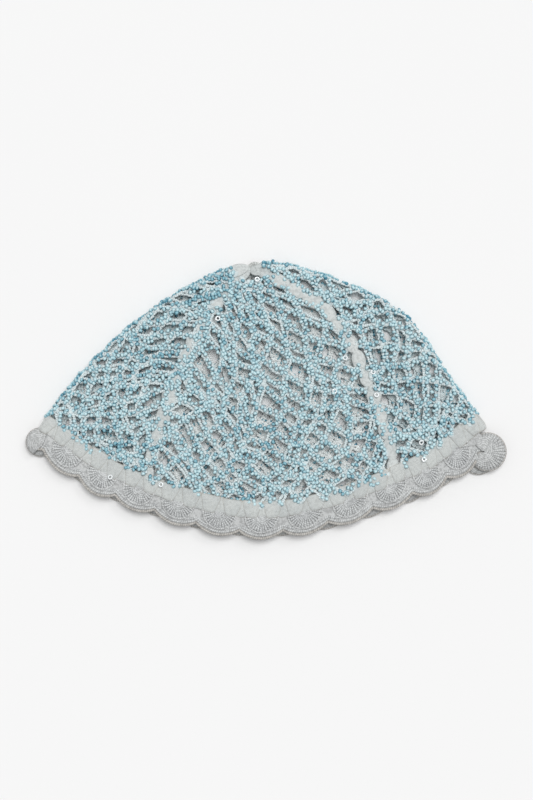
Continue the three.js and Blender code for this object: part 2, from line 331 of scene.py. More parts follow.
def select_points(wanted):
    """Selects the active object's points for which wanted(place) is true."""
    bpy.ops.object.mode_set(mode="EDIT")
    bpy.ops.mesh.select_mode(type="VERT")
    bpy.ops.mesh.select_all(action="DESELECT")
    shape = bmesh.from_edit_mesh(bpy.context.object.data)
    for vertex in shape.verts:
        vertex.select = wanted(vertex.co)
    shape.select_flush(True)
    bmesh.update_edit_mesh(bpy.context.object.data)


def upwards(count):
    """As many directions straight up."""
    return np.tile((0.0, 0.0, 1.0), (count, 1))


def matrices(first, second, third):
    """Turns whose columns are these directions."""
    return np.stack((first, second, third), -1)


def swung(first, second, angles):
    """Two directions swung round in the plane of both."""
    return (np.cos(angles) * first + np.sin(angles) * second,
            np.cos(angles) * second - np.sin(angles) * first)


def lean(rng, first, second, third, swing, tilt):
    """Directions turned at random about the second one by swing, and about the first by tilt."""
    swings = rng.normal(0, swing, (len(first), 1))
    tilts = rng.normal(0, tilt, (len(first), 1))
    first, third = swung(first, third, swings)
    second, third = swung(second, third, tilts)
    return first, second, third


# ---------------------------------------------------------------------------------------------
# Shaders
# ---------------------------------------------------------------------------------------------


class Nodes:
    """Adds and joins nodes in one tree."""

    def __init__(self, tree):
        self.tree = tree

    def add(self, kind, settings=None, **inputs):
        """A new node, with its own settings and then its inputs."""
        node = self.tree.nodes.new(kind)
        for name, value in (settings or {}).items():
            setattr(node, name, value)
        for name, value in inputs.items():
            self.put(node, name, value)
        return node

    def put(self, node, name, value):
        """Gives an input a value or a link. A name such as _6 is the input's number."""
        key = int(name[1:]) if name[0] == "_" and name[1:].isdigit() else name.replace("_", " ")
        socket = node.inputs[key]
        if isinstance(value, bpy.types.NodeSocket):
            self.tree.links.new(value, socket)
        else:
            socket.default_value = value

    def math(self, operation, *values, clamp=False):
        node = self.add("ShaderNodeMath", {"operation": operation, "use_clamp": clamp})
        for i, value in enumerate(values):
            self.put(node, f"_{i}", value)
        return node.outputs[0]

    def mix(self, factor, a, b, blend="MIX"):
        """Colour a blended with colour b."""
        return self.add("ShaderNodeMix", {"data_type": "RGBA", "blend_type": blend},
                        _0=factor, _6=a, _7=b).outputs[2]

    def noise(self, vector, scale, detail=2.0, roughness=0.5):
        return self.add("ShaderNodeTexNoise", Vector=vector, Scale=scale, Detail=detail,
                        Roughness=roughness).outputs["Fac"]

    def spread(self, value, low, high, to_low=0.0, to_high=1.0):
        """What lies between low and high, spread smoothly between two other values."""
        node = self.add("ShaderNodeMapRange", {"interpolation_type": "SMOOTHSTEP"}, Value=value)
        for name, number in zip(("From_Min", "From_Max", "To_Min", "To_Max"),
                                (low, high, to_low, to_high)):
            self.put(node, name, number)
        return node.outputs["Result"]

    def attribute(self, name):
        return self.add("ShaderNodeAttribute", {"attribute_name": name}).outputs["Fac"]

    def place(self):
        """Object coordinates, in metres, as every piece lies at the origin."""
        return self.add("ShaderNodeTexCoord").outputs["Object"]

    def bump(self, shader, strength, distance, height):
        bump = self.add("ShaderNodeBump", Strength=strength, Distance=distance, Height=height)
        self.put(shader, "Normal", bump.outputs["Normal"])


def new_group(name, inputs, outputs):
    """A shader group with these sockets, each a name and a type, and maybe a default."""
    group = bpy.data.node_groups.new(name, "ShaderNodeTree")
    for socket, kind, *default in inputs:
        made = group.interface.new_socket(socket, in_out="INPUT", socket_type=kind)
        if default:
            made.default_value = default[0]
    for socket, kind in outputs:
        group.interface.new_socket(socket, in_out="OUTPUT", socket_type=kind)
    nodes = Nodes(group)
    return group, nodes, nodes.add("NodeGroupInput"), nodes.add("NodeGroupOutput")


def yarn_group():
    """Soft spun yarn: the height of its twist and fibres, and the painted shade that darkens its
    grooves and the hollows between tufts.
    """
    name = "Yarn twist"
    if name in bpy.data.node_groups:
        return bpy.data.node_groups[name]
    group, nodes, given, out = new_group(
        name,
        (("Along", "NodeSocketFloat"), ("About", "NodeSocketFloat"),
         ("Place", "NodeSocketVector"), ("Lay length", "NodeSocketFloat", 0.0012),
         ("Mottle", "NodeSocketFloat", 0.1)),
        (("Height", "NodeSocketFloat"), ("Shade", "NodeSocketFloat")),
    )
    lay = nodes.math("DIVIDE", given.outputs["Along"], given.outputs["Lay length"])
    turn = nodes.math("MULTIPLY", nodes.math("ADD", lay, given.outputs["About"]), 2 * math.pi)
    twist = nodes.math("MULTIPLY_ADD", nodes.math("SINE", turn), 0.5, 0.5)
    fibres = nodes.noise(given.outputs["Place"], 2600.0, 3.0, 0.6)
    tufts = nodes.spread(nodes.noise(given.outputs["Place"], 750.0, 2.0), 0.35, 0.6, 1.0, 0.0)
    height = nodes.math("ADD", nodes.math("MULTIPLY", twist, 0.6),
                        nodes.math("MULTIPLY", fibres, 0.5))
    nodes.put(out, "Height", height)
    # Painted shade: blotches standing for hollows between tufts, and the low grooves of the twist,
    # come out darker.
    hollows = nodes.math("MULTIPLY", tufts, given.outputs["Mottle"])
    shade = nodes.math("MULTIPLY", nodes.spread(height, 0.2, 0.75, 0.72, 1.02),
                       nodes.math("SUBTRACT", 1.04, hollows))
    nodes.put(out, "Shade", shade)
    return group


def new_material(name):
    """A material, with its nodes and its shader."""
    material = bpy.data.materials.new(name)
    material.use_nodes = True
    return material, Nodes(material.node_tree), material.node_tree.nodes["Principled BSDF"]


EDGE_SHADE_COLOUR = (0.42, 0.37, 0.31)    # brown-grey painted shade, mixed in by the edge mark along rims and borders


def yarn_material(name, colour, second, lay=1.2 * MM, sheen=0.25, relief=0.5, mottle=0.12):
    """Matt cotton yarn. Colour and second are what it varies between."""
    material, nodes, shader = new_material(name)
    uv = nodes.add("ShaderNodeSeparateXYZ",
                   Vector=nodes.add("ShaderNodeUVMap", {"uv_map": "UVMap"}).outputs["UV"])
    place = nodes.place()
    yarn = nodes.add("ShaderNodeGroup", {"node_tree": yarn_group()}, Along=uv.outputs["X"],
                     About=uv.outputs["Y"], Place=place, Lay_length=lay, Mottle=mottle)
    blotch = nodes.spread(nodes.noise(place, 90.0, 3.0), 0.35, 0.68)
    vary = nodes.math("ADD", nodes.math("MULTIPLY", blotch, 0.6),
                      nodes.math("MULTIPLY", nodes.attribute("shade"), 0.4))
    colour = nodes.mix(vary, (*colour, 1.0), (*second, 1.0))
    # The edge mark mixes in the brown-grey edge colour: painted shade along rims and borders.
    colour = nodes.mix(nodes.attribute("edge"), colour, (*EDGE_SHADE_COLOUR, 1.0))
    # The yarn group's Shade darkens the twist's grooves and hollows: painted shade.
    grey = nodes.add("ShaderNodeCombineColor", Red=yarn.outputs["Shade"],
                     Green=yarn.outputs["Shade"], Blue=yarn.outputs["Shade"]).outputs[0]
    nodes.put(shader, "Base Color", nodes.mix(1.0, colour, grey, "MULTIPLY"))
    rough = nodes.spread(yarn.outputs["Height"], 0.2, 0.8, 0.95, 0.7)
    nodes.put(shader, "Roughness", rough)
    nodes.put(shader, "Sheen Weight", sheen)
    nodes.put(shader, "Specular IOR Level", 0.3)
    nodes.bump(shader, relief, 0.25 * MM, yarn.outputs["Height"])
    return material


# ---------------------------------------------------------------------------------------------
# Settings
# ---------------------------------------------------------------------------------------------


def length(name, description, millimetres):
    """A setting for a length."""
    return FloatProperty(name=name, description=description, default=millimetres * MM,
                         min=0.0, unit="LENGTH")


def colour(name, description, value):
    """A setting for a colour."""
    return FloatVectorProperty(name=name, description=description, default=value, size=3,
                               min=0.0, max=1.0, subtype="COLOR")


class CapNetSettings(bpy.types.PropertyGroup):
    """Sizes and colours of the net's cords and knots"""

    pair_offset: length("Pair offset", "From a cord's middle to each of its two strands", 1.15)
    ply_width: length("Ply width", "Width of each of the two plies of a strand", 1.3)
    ply_thickness: length("Ply thickness", "Thickness of each ply", 1.1)
    ply_offset: length("Ply offset", "From a strand's middle to the middle of a ply", 0.5)
    lay_length: length("Lay length", "Length of strand in which its plies turn once", 4.8)
    knot_size: length("Knot size", "Across the knot where cords meet", 3.6)
    cord_colour: colour("Cord", "Colour of the net's cords", (0.75, 0.835, 0.845))
    cord_second: colour("Cord variation", "What the cords' colour varies to", (0.63, 0.71, 0.725))
    # The back gore's cords are paler than the others: painted light on what shows through the holes.
    back_lit_colour: colour("Back cord", "Colour of the back gore's paler cords",
                        (0.93, 0.965, 0.955))
    back_lit_second: colour("Back cord variation", "What the back cords' colour varies to",
                        (0.82, 0.86, 0.86))


class CapBeadSettings(bpy.types.PropertyGroup):
    """Sizes, places and colours of the glass beads"""

    diameter: length("Diameter", "Outer diameter of a bead", 2.45)
    bead_length: length("Length", "Length of a bead along its thread", 1.9)
    pitch: length("Pitch", "Length of cord for each bead", 1.8)
    spread: length("Spread", "From a cord's middle to the two rows of beads on it", 0.8)
    rise: length("Rise", "From a cord's middle outwards to the middle of a bead", 0.9)
    roll: length("Roll", "How far patches of beads roll to one side of their cord", 1.2)
    missing: FloatProperty(name="Missing", description="Share of the beads that are left out",
                           default=0.08, min=0.0, max=1.0, subtype="FACTOR")
    # Pale shows only on the face of a bead turned out of the cap: painted light.
    pale: colour("Pale", "Lightest glass", (0.56, 0.75, 0.79))
    aqua: colour("Aqua", "Commonest glass", (0.24, 0.47, 0.55))
    deep: colour("Deep", "Darkest glass", (0.05, 0.23, 0.33))


class CapSeamSettings(bpy.types.PropertyGroup):
    """Sizes and colours of the seams and their puffs"""

    tape_width: length("Tape width", "Width of the flat cord under the puffs", 5.0)
    puff_length: length("Puff length", "Length of a crocheted puff", 13.2)
    puff_width: length("Puff width", "Width of a puff", 7.8)
    puff_height: length("Puff height", "Height of a puff", 1.1)
    puff_pitch: length("Puff pitch", "Length of seam for each puff", 10.8)
    puff_colour: colour("Puffs", "Colour of the seams' puffs", (0.66, 0.69, 0.68))
    puff_second: colour("Puff variation", "What the puffs' colour varies to", (0.57, 0.605, 0.60))


class CapHemSettings(bpy.types.PropertyGroup):
    """Counts and colours of the hem's fans and petals"""

    fans: IntProperty(name="Fans", description="Scalloped fans round the hem", default=24, min=8)
    ribs: IntProperty(name="Ribs", description="Stitches that spread out in a fan", default=17,
                      min=3)
    hem_colour: colour("Hem", "Colour of the hem's yarn", (0.67, 0.69, 0.69))
    hem_second: colour("Hem variation", "What the hem's colour varies to", (0.56, 0.575, 0.58))
    petal_colour: colour("Petals", "Colour of the band of petals", (0.62, 0.645, 0.63))
    petal_second: colour("Petal variation", "What the petals' colour varies to",
                         (0.54, 0.57, 0.565))


class CapStageSettings(bpy.types.PropertyGroup):
    """The table, the lights and the camera"""

    floor_colour: colour("Table", "Colour of the table", (0.86, 0.86, 0.86))
    lens: FloatProperty(name="Lens", description="Focal length of the camera in millimetres",
                        default=85.0, min=10.0)
    view_height: length("View height", "Height of table that the picture takes in", 440.0)
    key_strength: FloatProperty(name="Key light", description="Strength of the raking light",
                                default=0.35, min=0.0)
    fill_strength: FloatProperty(name="Fill light", description="Strength of the even light",
                                 default=0.43, min=0.0)
    top_strength: FloatProperty(name="Top light", description="Strength of the wide light overhead",
                                default=1.86, min=0.0)


class CapSettings(bpy.types.PropertyGroup):
    """All that a user can set"""

    net: PointerProperty(type=CapNetSettings)
    beads: PointerProperty(type=CapBeadSettings)
    seams: PointerProperty(type=CapSeamSettings)
    hem: PointerProperty(type=CapHemSettings)
    stage: PointerProperty(type=CapStageSettings)


# ---------------------------------------------------------------------------------------------
# Net
# ---------------------------------------------------------------------------------------------

NET_BOTTOM = 0.879          # share down of the net's lower edge
SEAM_TOP, SEAM_BOTTOM = 0.015, 0.9
SEAM_POINTS = 90
SEAM_GAPS = {3.5: -0.6, 0.5: 0.3, 1.5: 0.5, 2.5: 0.5}    # clearance between puffs, in millimetres
PUFF_CLEARANCE = 0.8        # half of what is added to it beside the middle of a puff
ROW_STRETCH = 0.3           # how much longer the meshes are at the crown
STEPS_PER_SIDE = 7          # points along one side of a mesh
MESH_SHIFT = 1.5 * MM       # how far a knot strays by itself
MESH_DRAG = 3.0 * MM        # how far whole patches of the net are dragged
SIDE_BOW = 0.9 * MM         # how far a side of a mesh bows
WEAVE = 0.35 * MM           # how far one cord lies over the other
SWELL = 0.9 * MM            # how far patches of the upper layer stand up
FOLDED = ("right", "left")  # a cord runs along the fold of these gores
FOLD_STRAY = 0.02           # half gores by which that cord strays from the fold
KNOT_LIMIT = 0.97           # half gores from the middle to the last knots
KNOT_FLATNESS = 0.62        # height of a knot for its width
KNOT_RISE = 0.1 * MM        # of its middle from the cords'
NET_SEED = 50
NOISE_WAVES, NOISE_RANGE = 7, 2.6
# Seed and size of the patches that these come in
DRAG_PATCHES = (20, 36 * MM)
SWELL_PATCHES = (9, 45 * MM)
PAIR_PATCHES = (15, 12 * MM)
# Its first seam, half rows of meshes, meshes across at the hem, how closely they follow the gore's
# width up to the crown, meshes by which the columns drift about the cap, share down of the net's
# top, seed, and how much deeper its beads are than the others
Gore = namedtuple("Gore", "seam rows meshes crowding drift top seed tone")
GORES = {
    "front": Gore(-0.5, 17, 11.5, 0.5, 4.4, 0.062, 11, -0.03),
    "right": Gore(0.5, 21, 10.0, 0.8, 0.0, 0.035, 12, 0.03),
    "back": Gore(1.5, 22, 15.5, 0.5, -2.2, 0.062, 13, 0.0),
    "left": Gore(2.5, 20, 12.0, 0.6, -5.0, 0.062, 14, 0.05),
}


@functools.lru_cache
def seam_length(turn):
    """Shares of the way down one seam, and its length so far at each."""
    down = np.linspace(SEAM_TOP, SEAM_BOTTOM, SEAM_POINTS)
    return down, lengths(Skin(turn, down).place)


def puff_count(gone, pitch):
    """How many puffs fill a seam."""
    return int(round(gone[-1] / pitch))


def seam_clearance(turn, down, pitch):
    """How far from a seam the cords stop: they pass between its puffs."""
    stops, gone = seam_length(turn)
    phase = np.interp(down, stops, gone) / gone[-1] * puff_count(gone, pitch)
    gap = SEAM_GAPS[turn % ALL_ROUND] + PUFF_CLEARANCE
    return (gap - PUFF_CLEARANCE * np.cos(2 * np.pi * phase)) * MM


def slow_noise(places, seed, size):
    """Values that change slowly over the cap, near -1 to 1."""
    rng = np.random.default_rng(seed)
    total = np.zeros(len(places))
    for _ in range(NOISE_WAVES):
        wave = rng.normal(0, 1, 3) * (1, 1, 0.3)
        wave *= 2 * np.pi / (size * rng.uniform(0.6, 1.6)) / np.linalg.norm(wave)
        total += np.sin(places @ wave + rng.uniform(0, 2 * np.pi))
    return total / NOISE_RANGE


def swell(places, normal):
    """How far the patches of the upper layer stand up at these places."""
    return SWELL * np.clip(normal[:, 2], 0, 1) * slow_noise(places, *SWELL_PATCHES)


def smooth_line(places):
    """The line with its corners eased, and its ends kept."""
    eased = places.copy()
    eased[1:-1] = 0.25 * places[:-2] + 0.5 * places[1:-1] + 0.25 * places[2:]
    return eased


def lattice(gore):
    """Where the cords of a gore's net meet: places across, from -1 to 1, and down, by row and half
    column. With them come the width of half the gore at each row, the number of the middle column
    and the random numbers."""
    gore = GORES[gore]
    rng = np.random.default_rng(gore.seed)
    share = np.arange(gore.rows + 1) / gore.rows
    level = gore.top + (NET_BOTTOM - gore.top) * share * (1 + ROW_STRETCH * (1 - share))
    lines = Skin(gore.seam + np.linspace(0, 1, 13)[:, None], level).place
    width = np.linalg.norm(np.diff(lines, axis=0), axis=2).sum(axis=0)
    half = gore.meshes / 2 * (width / width[-1]) ** gore.crowding
    middle = 2 * int(gore.meshes + gore.rows + abs(gore.drift))
    columns = np.arange(-middle, middle + 1)
    drifted = columns / 2 - gore.drift * (1 - share[:, None]) ** 2
    across = drifted / half[:, None]
    down = level[:, None] + 0 * across
    here = Skin(gore.seam + (np.clip(across, -1.2, 1.2) + 1) / 2, down)
    stray = rng.uniform(-MESH_SHIFT, MESH_SHIFT, (2, *across.shape))
    seed, size = DRAG_PATCHES
    for axis in (0, 1):
        drag = slow_noise(here.place.reshape(-1, 3), gore.seed + seed + axis, size)
        stray[axis] += MESH_DRAG * drag.reshape(across.shape)
    stray *= np.minimum(1, 4 * share * (1.15 - share))[:, None]
    about = np.linalg.norm(here.about, axis=-1)
    along = np.linalg.norm(here.along, axis=-1)
    across = across + 2 * stray[0] / about
    down = down + stray[1] / along
    return across, down, about[:, middle] / 2, middle, rng


def within(gore, across, down, half, pitch):
    """Whether these places of a gore are clear of its seams."""
    seam = GORES[gore].seam
    left = seam_clearance(seam, down, pitch) / half
    right = seam_clearance(seam + 1, down, pitch) / half
    return (across > -1 + left) & (across < 1 - right)


def in_gore(gore, across, down):
    """The surface at these places of a gore."""
    return Skin(GORES[gore].seam + (across + 1) / 2, down)


def cord_runs(gore, pitch):
    """Where the cords of a gore's net run: whether to the right or the left, the rows, places
    across and places down of their points, and how far each of their sides bows."""
    across, down, half, middle, rng = lattice(gore)
    count = len(across) - 1
    rows = np.arange(count + 1)
    fine = np.linspace(0, count, count * STEPS_PER_SIDE + 1)
    width = np.interp(fine, rows, half)
    runs = []
    for slope in (1, -1):
        for start in range(-middle + count, middle - count + 1):
            if start % 2:
                continue
            column = start + slope * rows + middle
            place = np.interp(fine, rows, across[rows, column])
            lower = np.interp(fine, rows, down[rows, column])
            bows = rng.uniform(-SIDE_BOW, SIDE_BOW, count + 1)
            if not (np.abs(place) < 1).any():
                continue
            inside = np.flatnonzero(within(gore, place, lower, width, pitch))
            if len(inside) < STEPS_PER_SIDE // 2:
                continue
            kept = slice(inside[0], inside[-1] + 1)
            runs.append((slope, fine[kept], place[kept], lower[kept], bows))
    if gore in FOLDED:
        place = np.interp(fine, rows, rng.normal(0, FOLD_STRAY, count + 1))
        lower = np.interp(fine, rows, down[:, middle])
        runs.append((1, fine, place, lower, 0 * rows))
    return runs


def line_directions(line, normal):
    """Directions along a line and to its side, where normal points about outwards."""
    tangent = unit(np.gradient(line, axis=0))
    return tangent, unit(np.cross(normal, tangent))


def cords(gore, pitch):
    """The cords of one gore's net. Each is its middle line, with directions along it, to its side
    and outwards, and the length so far."""
    runs = cord_runs(gore, pitch)
    here = in_gore(gore, np.concatenate([run[2] for run in runs]),
                   np.concatenate([run[3] for run in runs]))
    made, at = [], 0
    for slope, step, _, _, bows in runs:
        part = slice(at, at + len(step))
        at += len(step)
        normal = here.normal[part]
        line = here.place[part] + (slope * WEAVE * np.cos(np.pi * step))[:, None] * normal
        line[:, 2] += swell(line, normal)
        lateral = line_directions(line, normal)[1]
        bow = bows[step.astype(int)] * np.sin(np.pi * (step % 1))
        line = smooth_line(smooth_line(line + bow[:, None] * lateral))
        tangent, lateral = line_directions(line, normal)
        made.append((line, tangent, lateral, np.cross(tangent, lateral), lengths(line)))
    return made


def knot_places(gore, pitch):
    """Where cords meet, with directions across and along."""
    across, down, half, middle, _ = lattice(gore)
    rows = np.arange(len(across))[:, None]
    columns = np.arange(-middle, middle + 1)
    wanted = ((columns + rows) % 2 == 0) & (np.abs(across) < KNOT_LIMIT)
    wanted &= within(gore, across, down, half[:, None], pitch)
    here = in_gore(gore, across[wanted], down[wanted])
    here.place[:, 2] += swell(here.place, here.normal)
    return here, *here.axes()


def knot_shape():
    """A round knot, one unit across."""
    start_shape()
    bpy.ops.mesh.primitive_uv_sphere_add(segments=8, ring_count=4, radius=0.5)
    return take_shape()


def build_net(gore, settings, pitch, material):
    """The net of one gore: cords of two twisted strands, and a knot where cords meet."""
    pile = Pile()
    rng = np.random.default_rng(GORES[gore].seed + NET_SEED)
    for line, _, lateral, normal, gone in cords(gore, pitch):
        for side in (-1, 1):
            angle = side * 2 * np.pi * gone / settings.lay_length + rng.uniform(0, 2 * np.pi)
            shade = rng.uniform(0, 1)
            beside = side * settings.pair_offset * (0.8 + 0.2 * slow_noise(line, *PAIR_PATCHES))
            for ply in (0, np.pi):
                about = beside + settings.ply_offset * np.cos(angle + ply)
                over = 0.75 * settings.ply_offset * np.sin(angle + ply)
                middle = line + about[:, None] * lateral + over[:, None] * normal
                middle[:, 2] = np.maximum(middle[:, 2], settings.ply_thickness / 2)
                pile.add_tube(middle, lateral, normal, settings.ply_width / 2,
                              settings.ply_thickness / 2, 5, gone, shade=shade, edge=0)
    here, across, along = knot_places(gore, pitch)
    across, along, normal = lean(rng, across, along, here.normal, 0.1, 0.1)
    size = settings.knot_size * rng.uniform(0.85, 1.1, (len(across), 3, 1))
    wide, long, high = size[:, 0], size[:, 1], KNOT_FLATNESS * size[:, 2]
    centres = here.out(KNOT_RISE)
    centres[:, 2] = np.maximum(centres[:, 2], high[:, 0] / 2)
    pile.add_copies(knot_shape(), centres, matrices(wide * across, long * along, high * normal),
                    shade=rng.uniform(0, 1, len(across)), edge=0)
    return pile.finish(f"net_{gore}", material, (f"panel_{gore}",))


class CAP_OT_net(bpy.types.Operator):
    """Knots the twisted cords of the four gores"""

    bl_idname = "cap.net"
    bl_label = "Net"

    def execute(self, context):
        settings = context.scene.cap.net
        pitch = context.scene.cap.seams.puff_pitch
        yarn = yarn_material("Net cord", settings.cord_colour, settings.cord_second)
        # The back gore's paler cords are painted light.
        pale = yarn_material("Back net cord", settings.back_lit_colour, settings.back_lit_second)
        for gore in GORES:
            build_net(gore, settings, pitch, pale if gore == "back" else yarn)
        return {"FINISHED"}


# ---------------------------------------------------------------------------------------------
# Beads
# ---------------------------------------------------------------------------------------------

BEAD_END = (0.74, 0.74, 0.86)    # size of the rim of a bead's end, in radii and half lengths
BEAD_DIMPLE = 0.45               # height of the middle of its end, in half lengths
BEAD_SWING = 0.42                # radians by which beads turn on the face of their cord
BEAD_TILT = 0.28                 # and away from it
PITCH_STRAY = 0.12               # share of the pitch by which a bead strays along its cord
ROW_STRAY = 0.22 * MM            # how far it strays to the side
RISE_STRAY = 0.12 * MM           # and outwards
STRADDLING = 0.12                # share of the beads that lie over the middle of a cord
STRADDLE_RISE = 0.3 * MM
TABLE_GAP = 0.05 * MM            # between the lowest beads and the table
BEAD_SEED = 100
# Seed and size of the patches that these come in
ROLL_PATCHES = (8, 17 * MM)
TONE_PATCHES = (5, 60 * MM)
TONE_SPECKS = (6, 9 * MM)


def bead_shape():
    """A short round bead on the Z axis, of radius and half length 1, dimpled where its thread
    goes in."""
    start_shape()
    bpy.ops.mesh.primitive_cylinder_add(vertices=8, radius=1, depth=2, end_fill_type="TRIFAN")
    bpy.ops.object.mode_set(mode="EDIT")
    bpy.ops.mesh.select_all(action="SELECT")
    bpy.ops.mesh.bisect(plane_co=(0, 0, 0), plane_no=(0, 0, 1))
    select_points(lambda place: place.xy.length > 0.5 and abs(place.z) > 0.5)
    bpy.ops.transform.resize(value=BEAD_END)
    select_points(lambda place: place.xy.length < 0.1)
    bpy.ops.transform.resize(value=(1, 1, BEAD_DIMPLE))
    return take_shape()


def bead_tones(places, rng, bias):
    """How deep each bead's glass is, from 0 to 1: patches of paler and deeper ones."""
    patches = 0.14 * slow_noise(places, *TONE_PATCHES) + 0.24 * slow_noise(places, *TONE_SPECKS)
    own = rng.beta(0.7, 1.2, len(places))
    return np.clip(0.7 * own + 0.1 + patches + bias, 0, 1)


def string_beads(cord, settings, rng):
    """Where the beads of one cord lie, with directions to its side, outwards and along it."""
    gone = cord[-1]
    count = max(2, int(gone[-1] / settings.pitch))
    at = (np.arange(count) + rng.uniform(0.2, 0.8)) * gone[-1] / count
    at = np.clip(at + rng.normal(0, PITCH_STRAY * settings.pitch, count), 0, gone[-1])
    kept = rng.uniform(size=count) > settings.missing
    row = np.where((np.arange(count) + rng.integers(2)) % 2, 1.0, -1.0)
    beside = row * settings.spread + rng.normal(0, ROW_STRAY, count)
    middle, tangent, lateral, normal = (sample(at, gone, values) for values in cord[:4])
    beside += settings.roll * slow_noise(middle, *ROLL_PATCHES)
    over = settings.rise + rng.normal(0, RISE_STRAY, count)
    straddling = rng.uniform(size=count) < STRADDLING
    beside = np.where(straddling, 0.25 * beside, beside)
    over = np.where(straddling, over + STRADDLE_RISE, over)
    place = middle + beside[:, None] * lateral + over[:, None] * normal
    return place[kept], unit(lateral[kept]), unit(normal[kept]), unit(tangent[kept])


def build_beads(gore, settings, pitch, shape, material):
    """The beads of one gore, each with the tone of its glass and how far each of its points faces
    out of the cap."""
    rng = np.random.default_rng(GORES[gore].seed + BEAD_SEED)
    strings = [string_beads(cord, settings, rng) for cord in cords(gore, pitch)]
    centres, lateral, normal, tangent = (np.concatenate(values) for values in zip(*strings))
    across, out, axis = lean(rng, lateral, normal, tangent, BEAD_SWING, BEAD_TILT)
    radius = settings.diameter / 2 * rng.uniform(0.92, 1.06, (len(centres), 1))
    centres[:, 2] = np.maximum(centres[:, 2], radius[:, 0] + TABLE_GAP)
    half = settings.bead_length / 2 * rng.uniform(0.88, 1.12, (len(centres), 1))
    turns = matrices(radius * across, radius * out, half * axis)
    crown = np.einsum("nij,vj,ni->nv", turns, shape[0], normal) / radius
    tones = bead_tones(centres, rng, GORES[gore].tone)
    pile = Pile()
    pile.add_copies(shape, centres, turns, tone=tones, crown=crown)
    return pile.finish(f"beads_{gore}", material)


def bead_material(settings):
    """Glass whose tone differs from bead to bead, painted paler as if lit on the face turned out of
    the cap and deeper as if shaded round its sides.
    """
    material, nodes, shader = new_material("Bead glass")
    tone, crown = nodes.attribute("tone"), nodes.attribute("crown")
    place = nodes.place()
    pale, aqua, deep = ((*c, 1.0) for c in (settings.pale, settings.aqua, settings.deep))
    # Round a bead's sides the colour is deeper: painted shade.
    rim = nodes.mix(nodes.spread(tone, 0.25, 0.9), aqua, deep)
    # On the face turned out of the cap it is paler: painted light.
    core = nodes.mix(nodes.spread(tone, 0.3, 0.95), pale, aqua)
    lit = nodes.spread(crown, 0.1, 0.85)
    streaks = nodes.spread(nodes.noise(place, 900.0, 2.0), 0.3, 0.7, -0.18, 0.18)
    lit = nodes.math("ADD", lit, streaks, clamp=True)
    nodes.put(shader, "Base Color", nodes.mix(lit, rim, core))
    rough = nodes.spread(nodes.noise(place, 1500.0, 2.0), 0.3, 0.7, 0.33, 0.48)
    nodes.put(shader, "Roughness", rough)
    nodes.put(shader, "IOR", 1.52)
    nodes.put(shader, "Coat Weight", 0.1)
    nodes.put(shader, "Coat Roughness", 0.15)
    nodes.bump(shader, 0.15, 0.1 * MM, nodes.noise(place, 700.0, 1.0))
    return material


class CAP_OT_beads(bpy.types.Operator):
    """Strings two staggered rows of glass beads along the outside of every cord"""

    bl_idname = "cap.beads"
    bl_label = "Beads"

    def execute(self, context):
        settings = context.scene.cap.beads
        pitch = context.scene.cap.seams.puff_pitch
        material = bead_material(settings)
        shape = bead_shape()
        for gore in GORES:
            build_beads(gore, settings, pitch, shape, material)
        return {"FINISHED"}


# ---------------------------------------------------------------------------------------------
# Seams and crown
# ---------------------------------------------------------------------------------------------

# Turn and share down of each puff of the crown, and its width and length in millimetres
CROWN_PUFFS = (
    (-0.8, 0.055, 7.4, 16), (0.3, 0.02, 6, 9), (1.2, 0.05, 7, 13), (1.75, 0.05, 7, 13),
    (2.3, 0.05, 7, 13), (2.8, 0.05, 7, 13),
)
SEAMS = {"front_left": -0.5, "front_right": 0.5, "back_right": 1.5, "back_left": 2.5}
TAPE_SINK = 0.5 * MM        # how far a seam's flat cord lies under the net's middle surface
TAPE_HALF = 0.6 * MM        # half its thickness
TAPE_PINCH = 0.15           # how much narrower it is between two puffs
SEAM_SEED, CROWN_SEED = 40, 31
RING_STEPS = 32
RING_MIDDLE = np.array((*APEX, 3.6)) + (1.5, -0.2, 0)    # in millimetres, as the radius is
RING_RADIUS = 2.6


def puff_shape():
    """A leaf-shaped puff of yarn along the Y axis, 1 long, 1 wide and 1 high, with shallow
    furrows between its strands."""
    start_shape()
    bpy.ops.mesh.primitive_uv_sphere_add(segments=20, ring_count=10, radius=0.5,
                                         rotation=(math.pi / 2, 0, 0))
    bpy.ops.object.transform_apply(location=False, rotation=True, scale=True)
    points, faces = take_shape()
    share = np.clip(np.abs(points[:, 1]) / 0.5, 0, 1)
    about = np.arctan2(points[:, 2], points[:, 0])
    full = (1 - share ** 2.2) ** 0.75 / np.maximum(np.sqrt(1 - share ** 2), 1e-3)
    furrow = 1 + 0.05 * np.cos(10 * about)
    points[:, (0, 2)] *= (np.where(share < 0.999, full, 1) * furrow)[:, None]
    return points, faces


def add_puffs(pile, shape, here, sizes, rng, swing, base):
    """Adds puffs that point down the cap. Sizes are width, length and height, swing is how far they
    turn at random, and base is how far their middles stand off the surface."""
    across, along = here.axes()
    across, out, along = lean(rng, across, here.normal, along, swing, 0.04)
    vary = rng.uniform(0.9, 1.08, (len(along), 3, 1))
    width, long, height = (sizes[i] * vary[:, i] for i in range(3))
    pile.add_copies(shape, here.out(base), matrices(width * across, long * along, height * out),
                    shade=rng.uniform(0, 1, len(along)), edge=0)


